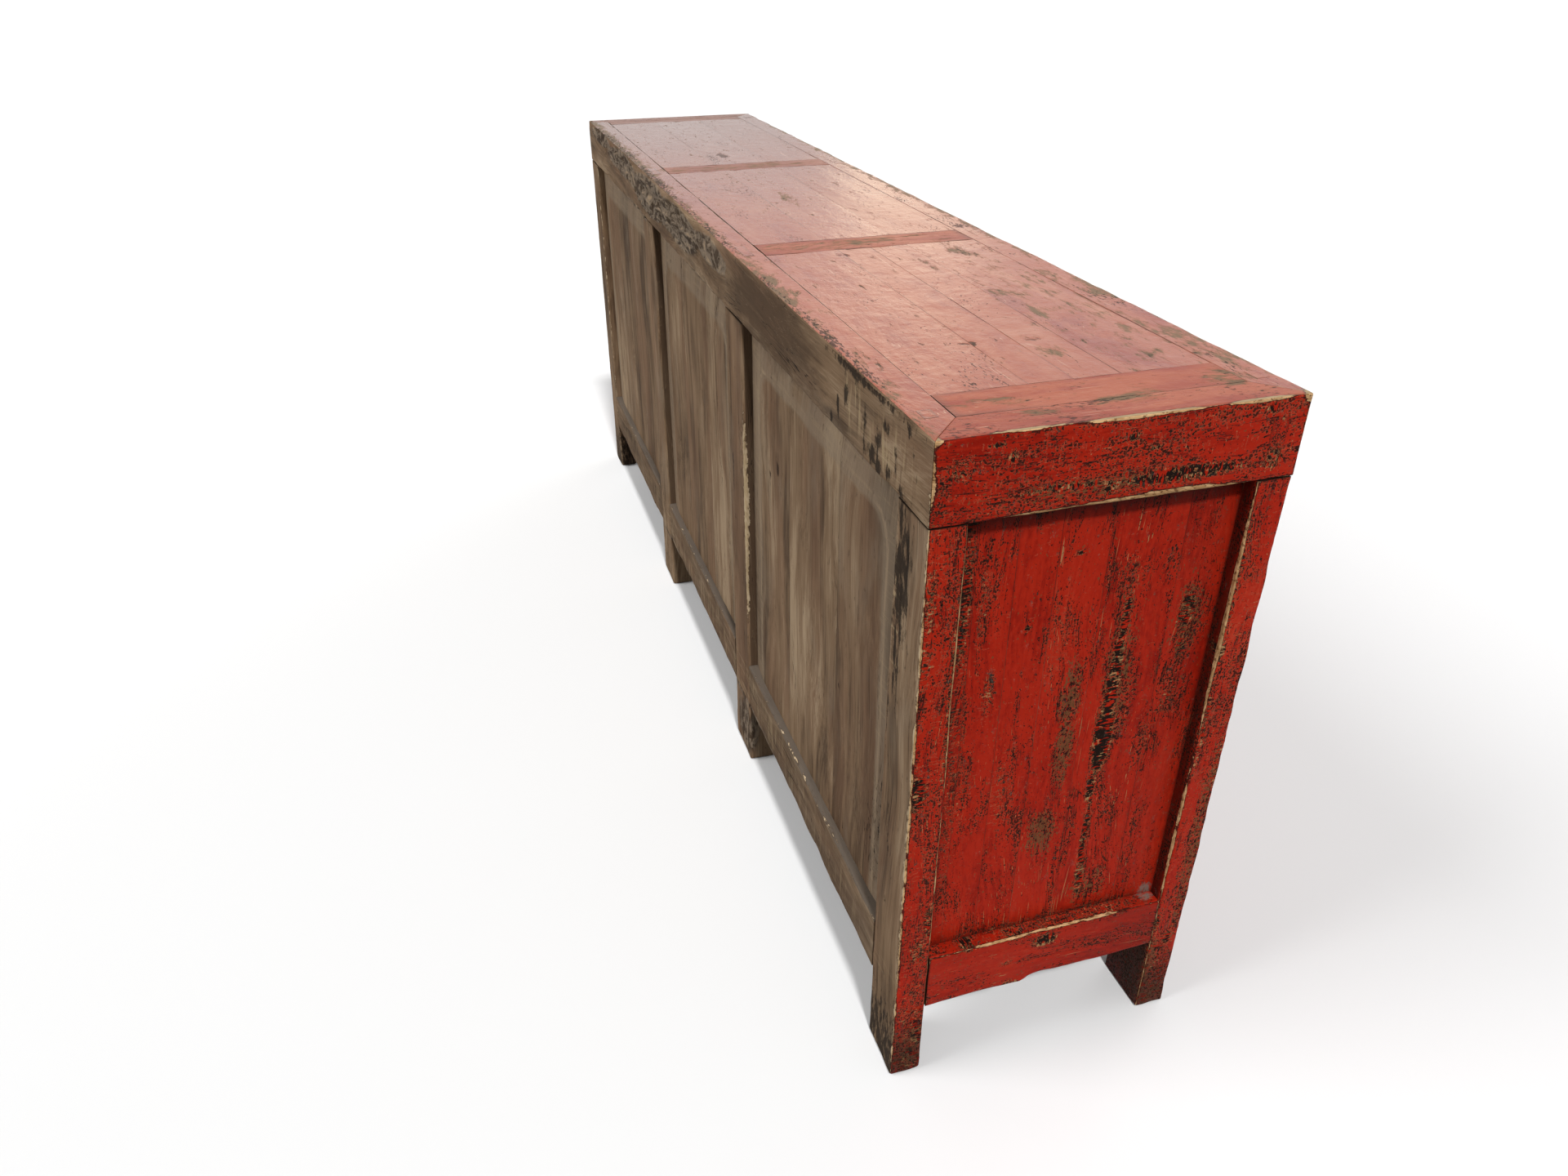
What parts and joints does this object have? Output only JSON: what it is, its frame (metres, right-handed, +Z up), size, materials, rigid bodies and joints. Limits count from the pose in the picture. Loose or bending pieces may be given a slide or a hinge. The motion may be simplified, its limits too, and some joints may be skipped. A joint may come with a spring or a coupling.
{
  "type": "sideboard",
  "caption": "Long low sideboard of framed and panelled wood with a worn red lacquer finish, inset pivot doors under drawers, brass ring pulls and a bare wood back.",
  "frame": {"origin": "on the floor, under the middle of the sideboard", "axes": "+X along the length to the right as seen from the front, +Y towards the back, +Z up"},
  "size_m": [2.12, 0.411, 0.9],
  "materials": {
    "red_lacquer": "worn red lacquer, satin",
    "faded_lacquer": "faded red lacquer, satin",
    "bare_wood": "bare aged wood, matt",
    "aged_brass": "aged brass, dull"
  },
  "bodies": {
    "carcass": {"top_left_end_rail": "faded_lacquer", "top_right_end_rail": "faded_lacquer", "top_front_rail": "faded_lacquer", "top_back_rail": "bare_wood", "top_end_strips": "faded_lacquer", "top_left_batten": "faded_lacquer", "top_right_batten": "faded_lacquer", "top_left_panel": "faded_lacquer", "top_middle_panel": "faded_lacquer", "top_right_panel": "faded_lacquer", "front_left_corner_post": "red_lacquer", "front_left_inner_post": "red_lacquer", "front_right_corner_post": "red_lacquer", "front_right_inner_post": "red_lacquer", "back_left_corner_post": "red_lacquer", "back_left_inner_post": "bare_wood", "back_right_corner_post": "red_lacquer", "back_right_inner_post": "bare_wood", "lower_back_left_rail": "bare_wood", "lower_front_rails": "red_lacquer", "drawer_rails": "red_lacquer", "lower_back_middle_rail": "bare_wood", "lower_back_right_rail": "bare_wood", "lower_left_end_rail": "red_lacquer", "lower_right_end_rail": "red_lacquer", "back_left_panel": "bare_wood", "back_middle_panel": "bare_wood", "back_right_panel": "bare_wood", "left_end_panel": "red_lacquer", "right_end_panel": "red_lacquer", "floor_bearers": "bare_wood", "floor_boards": "bare_wood", "drawer_runners": "bare_wood"},
    "left_drawer": {"left_drawer": "red_lacquer", "left_drawer_plate": "aged_brass"},
    "left_drawer_ring": {"left_drawer_ring": "aged_brass"},
    "left_bay_left_door": {"left_bay_left_door": "red_lacquer", "left_bay_left_door_plate": "aged_brass"},
    "left_bay_left_door_ring": {"left_bay_left_door_ring": "aged_brass"},
    "left_bay_right_door": {"left_bay_right_door": "red_lacquer", "left_bay_right_door_plate": "aged_brass"},
    "left_bay_right_door_ring": {"left_bay_right_door_ring": "aged_brass"},
    "middle_drawer": {"middle_drawer": "red_lacquer", "middle_drawer_plate": "aged_brass"},
    "middle_drawer_ring": {"middle_drawer_ring": "aged_brass"},
    "middle_bay_left_door": {"middle_bay_left_door": "red_lacquer", "middle_bay_left_door_plate": "aged_brass"},
    "middle_bay_left_door_ring": {"middle_bay_left_door_ring": "aged_brass"},
    "middle_bay_right_door": {"middle_bay_right_door": "red_lacquer", "middle_bay_right_door_plate": "aged_brass"},
    "middle_bay_right_door_ring": {"middle_bay_right_door_ring": "aged_brass"},
    "right_drawer": {"right_drawer": "red_lacquer", "right_drawer_plate": "aged_brass"},
    "right_drawer_ring": {"right_drawer_ring": "aged_brass"},
    "right_bay_left_door": {"right_bay_left_door": "red_lacquer", "right_bay_left_door_plate": "aged_brass"},
    "right_bay_left_door_ring": {"right_bay_left_door_ring": "aged_brass"},
    "right_bay_right_door": {"right_bay_right_door": "red_lacquer", "right_bay_right_door_plate": "aged_brass"},
    "right_bay_right_door_ring": {"right_bay_right_door_ring": "aged_brass"}
  },
  "joints": [
    {"name": "left_drawer_slide", "type": "slide", "parent": "carcass", "child": "left_drawer", "axis": [0, -1, 0], "range_m": [0, 0.25]},
    {"name": "left_drawer_ring_swing", "type": "hinge", "parent": "left_drawer", "child": "left_drawer_ring", "pos_m": [-0.67925, -0.1975, 0.743], "axis": [-1, 0, 0], "range_deg": [0, 90]},
    {"name": "left_bay_left_door_turn", "type": "hinge", "parent": "carcass", "child": "left_bay_left_door", "pos_m": [-0.9675, -0.1785, 0.4225], "axis": [0, 0, -1], "range_deg": [0, 90]},
    {"name": "left_bay_left_door_ring_swing", "type": "hinge", "parent": "left_bay_left_door", "child": "left_bay_left_door_ring", "pos_m": [-0.70425, -0.1975, 0.447], "axis": [-1, 0, 0], "range_deg": [0, 90]},
    {"name": "left_bay_right_door_turn", "type": "hinge", "parent": "carcass", "child": "left_bay_right_door", "pos_m": [-0.391, -0.1785, 0.4225], "axis": [0, 0, 1], "range_deg": [0, 90]},
    {"name": "left_bay_right_door_ring_swing", "type": "hinge", "parent": "left_bay_right_door", "child": "left_bay_right_door_ring", "pos_m": [-0.65425, -0.1975, 0.447], "axis": [-1, 0, 0], "range_deg": [0, 90]},
    {"name": "middle_drawer_slide", "type": "slide", "parent": "carcass", "child": "middle_drawer", "axis": [0, -1, 0], "range_m": [0, 0.25]},
    {"name": "middle_drawer_ring_swing", "type": "hinge", "parent": "middle_drawer", "child": "middle_drawer_ring", "pos_m": [0, -0.1975, 0.743], "axis": [-1, 0, 0], "range_deg": [0, 90]},
    {"name": "middle_bay_left_door_turn", "type": "hinge", "parent": "carcass", "child": "middle_bay_left_door", "pos_m": [-0.273, -0.1785, 0.4225], "axis": [0, 0, -1], "range_deg": [0, 90]},
    {"name": "middle_bay_left_door_ring_swing", "type": "hinge", "parent": "middle_bay_left_door", "child": "middle_bay_left_door_ring", "pos_m": [-0.025, -0.1975, 0.447], "axis": [-1, 0, 0], "range_deg": [0, 90]},
    {"name": "middle_bay_right_door_turn", "type": "hinge", "parent": "carcass", "child": "middle_bay_right_door", "pos_m": [0.273, -0.1785, 0.4225], "axis": [0, 0, 1], "range_deg": [0, 90]},
    {"name": "middle_bay_right_door_ring_swing", "type": "hinge", "parent": "middle_bay_right_door", "child": "middle_bay_right_door_ring", "pos_m": [0.025, -0.1975, 0.447], "axis": [-1, 0, 0], "range_deg": [0, 90]},
    {"name": "right_drawer_slide", "type": "slide", "parent": "carcass", "child": "right_drawer", "axis": [0, -1, 0], "range_m": [0, 0.25]},
    {"name": "right_drawer_ring_swing", "type": "hinge", "parent": "right_drawer", "child": "right_drawer_ring", "pos_m": [0.67925, -0.1975, 0.743], "axis": [-1, 0, 0], "range_deg": [0, 90]},
    {"name": "right_bay_left_door_turn", "type": "hinge", "parent": "carcass", "child": "right_bay_left_door", "pos_m": [0.391, -0.1785, 0.4225], "axis": [0, 0, -1], "range_deg": [0, 90]},
    {"name": "right_bay_left_door_ring_swing", "type": "hinge", "parent": "right_bay_left_door", "child": "right_bay_left_door_ring", "pos_m": [0.65425, -0.1975, 0.447], "axis": [-1, 0, 0], "range_deg": [0, 90]},
    {"name": "right_bay_right_door_turn", "type": "hinge", "parent": "carcass", "child": "right_bay_right_door", "pos_m": [0.9675, -0.1785, 0.4225], "axis": [0, 0, 1], "range_deg": [0, 90]},
    {"name": "right_bay_right_door_ring_swing", "type": "hinge", "parent": "right_bay_right_door", "child": "right_bay_right_door_ring", "pos_m": [0.70425, -0.1975, 0.447], "axis": [-1, 0, 0], "range_deg": [0, 90]}
  ]
}
